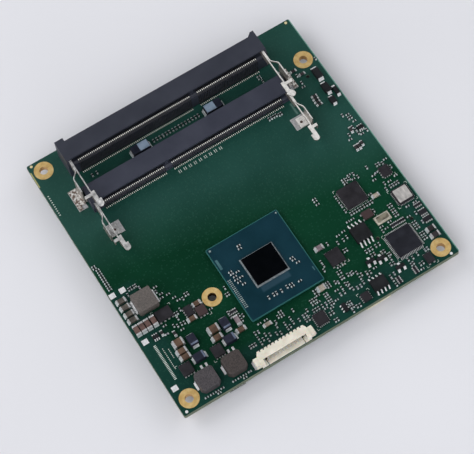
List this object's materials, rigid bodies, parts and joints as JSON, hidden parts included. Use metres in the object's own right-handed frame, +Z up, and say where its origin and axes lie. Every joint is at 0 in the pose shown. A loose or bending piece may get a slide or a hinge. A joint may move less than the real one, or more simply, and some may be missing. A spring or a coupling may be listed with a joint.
{
  "type": "computer-on-module board",
  "caption": "Square green processor board with a bare processor, two stacked notebook-memory sockets with sprung latches, a white wire header, power parts and board-to-board plugs.",
  "frame": {"origin": "centre of the square board's outline, in the plane that the two board-to-board plugs stand on", "axes": "+Z up through the board, +X along the front edge with the white header to the right, +Y from the front edge to the memory sockets"},
  "size_m": [0.095, 0.0951, 0.0152],
  "materials": {
    "solder_mask": "dark green semi-gloss lacquer over glass-epoxy laminate",
    "gold_plate": "thin matte gold over copper",
    "tin_plate": "bright tin and solder",
    "spring_steel": "bright stamped spring steel",
    "socket_plastic": "dark blue-grey moulded plastic with a soft sheen",
    "header_plastic": "ivory moulded plastic",
    "processor_laminate": "blue-green lacquered laminate",
    "silicon": "polished dark silicon",
    "resin": "clear grey cured resin",
    "coil_compound": "pressed grey-brown powder, fine grained",
    "ceramic_body": "brown fired ceramic",
    "package_epoxy": "fine matte black moulding compound",
    "polymer_case": "dark blue-black moulded case",
    "can_metal": "satin nickel-plated can",
    "chip_ceramic": "small fired ceramic bodies",
    "plug_plastic": "black moulded plastic",
    "cable_plastic": "cream moulded plastic"
  },
  "bodies": {
    "board": {"circuit_board": "solder_mask", "plated_holes": "gold_plate", "tinned_pads": "tin_plate", "front_socket_housing": "socket_plastic", "rear_socket_housing": "socket_plastic", "front_lower_contacts": "tin_plate", "front_upper_contacts": "tin_plate", "rear_lower_contacts": "tin_plate", "rear_upper_contacts": "tin_plate", "front_latch_guards": "spring_steel", "rear_latch_guards": "spring_steel", "solder_lands": "tin_plate", "processor_substrate": "processor_laminate", "processor_die": "silicon", "die_resin": "resin", "processor_balls": "tin_plate", "header_housing": "header_plastic", "header_pins": "tin_plate", "header_nails": "tin_plate", "moulded_inductors": "coil_compound", "inductor_terminals": "tin_plate", "ceramic_capacitors": "ceramic_body", "ceramic_capacitor_ends": "tin_plate", "polymer_capacitors": "polymer_case", "polymer_terminals": "tin_plate", "leadless_packages": "package_epoxy", "leadless_pads": "tin_plate", "outline_packages": "package_epoxy", "outline_leads": "tin_plate", "quad_package": "package_epoxy", "quad_leads": "tin_plate", "crystal_can": "can_metal", "shielded_oscillator": "can_metal", "chip_parts": "chip_ceramic", "array_bodies": "package_epoxy", "array_ends": "tin_plate", "plug_housings": "plug_plastic", "plug_contacts": "gold_plate", "underside_packages": "package_epoxy", "underside_leads": "tin_plate", "underside_capacitors": "chip_ceramic", "cable_connector": "cable_plastic", "cable_connector_bar": "plug_plastic", "cable_connector_contacts": "tin_plate"},
    "front_left_latch": {"front_left_latch_arm": "spring_steel"},
    "front_right_latch": {"front_right_latch_arm": "spring_steel"},
    "rear_left_latch": {"rear_left_latch_arm": "spring_steel"},
    "rear_right_latch": {"rear_right_latch_arm": "spring_steel"}
  },
  "joints": [
    {"name": "front_left_latch_spring", "type": "hinge", "parent": "board", "child": "front_left_latch", "pos_m": [-0.03592, 0.0189, 0.009], "axis": [0, 0, -1], "range_deg": [0, 4.5], "stiffness_Nm_per_rad": 0.3},
    {"name": "front_right_latch_spring", "type": "hinge", "parent": "board", "child": "front_right_latch", "pos_m": [0.03213, 0.0189, 0.009], "axis": [0, 0, 1], "range_deg": [0, 4.5], "stiffness_Nm_per_rad": 0.3},
    {"name": "rear_left_latch_spring", "type": "hinge", "parent": "board", "child": "rear_left_latch", "pos_m": [-0.03592, 0.0341, 0.013], "axis": [0, 0, -1], "range_deg": [0, 4.5], "stiffness_Nm_per_rad": 0.3},
    {"name": "rear_right_latch_spring", "type": "hinge", "parent": "board", "child": "rear_right_latch", "pos_m": [0.03213, 0.0341, 0.013], "axis": [0, 0, 1], "range_deg": [0, 4.5], "stiffness_Nm_per_rad": 0.3}
  ]
}
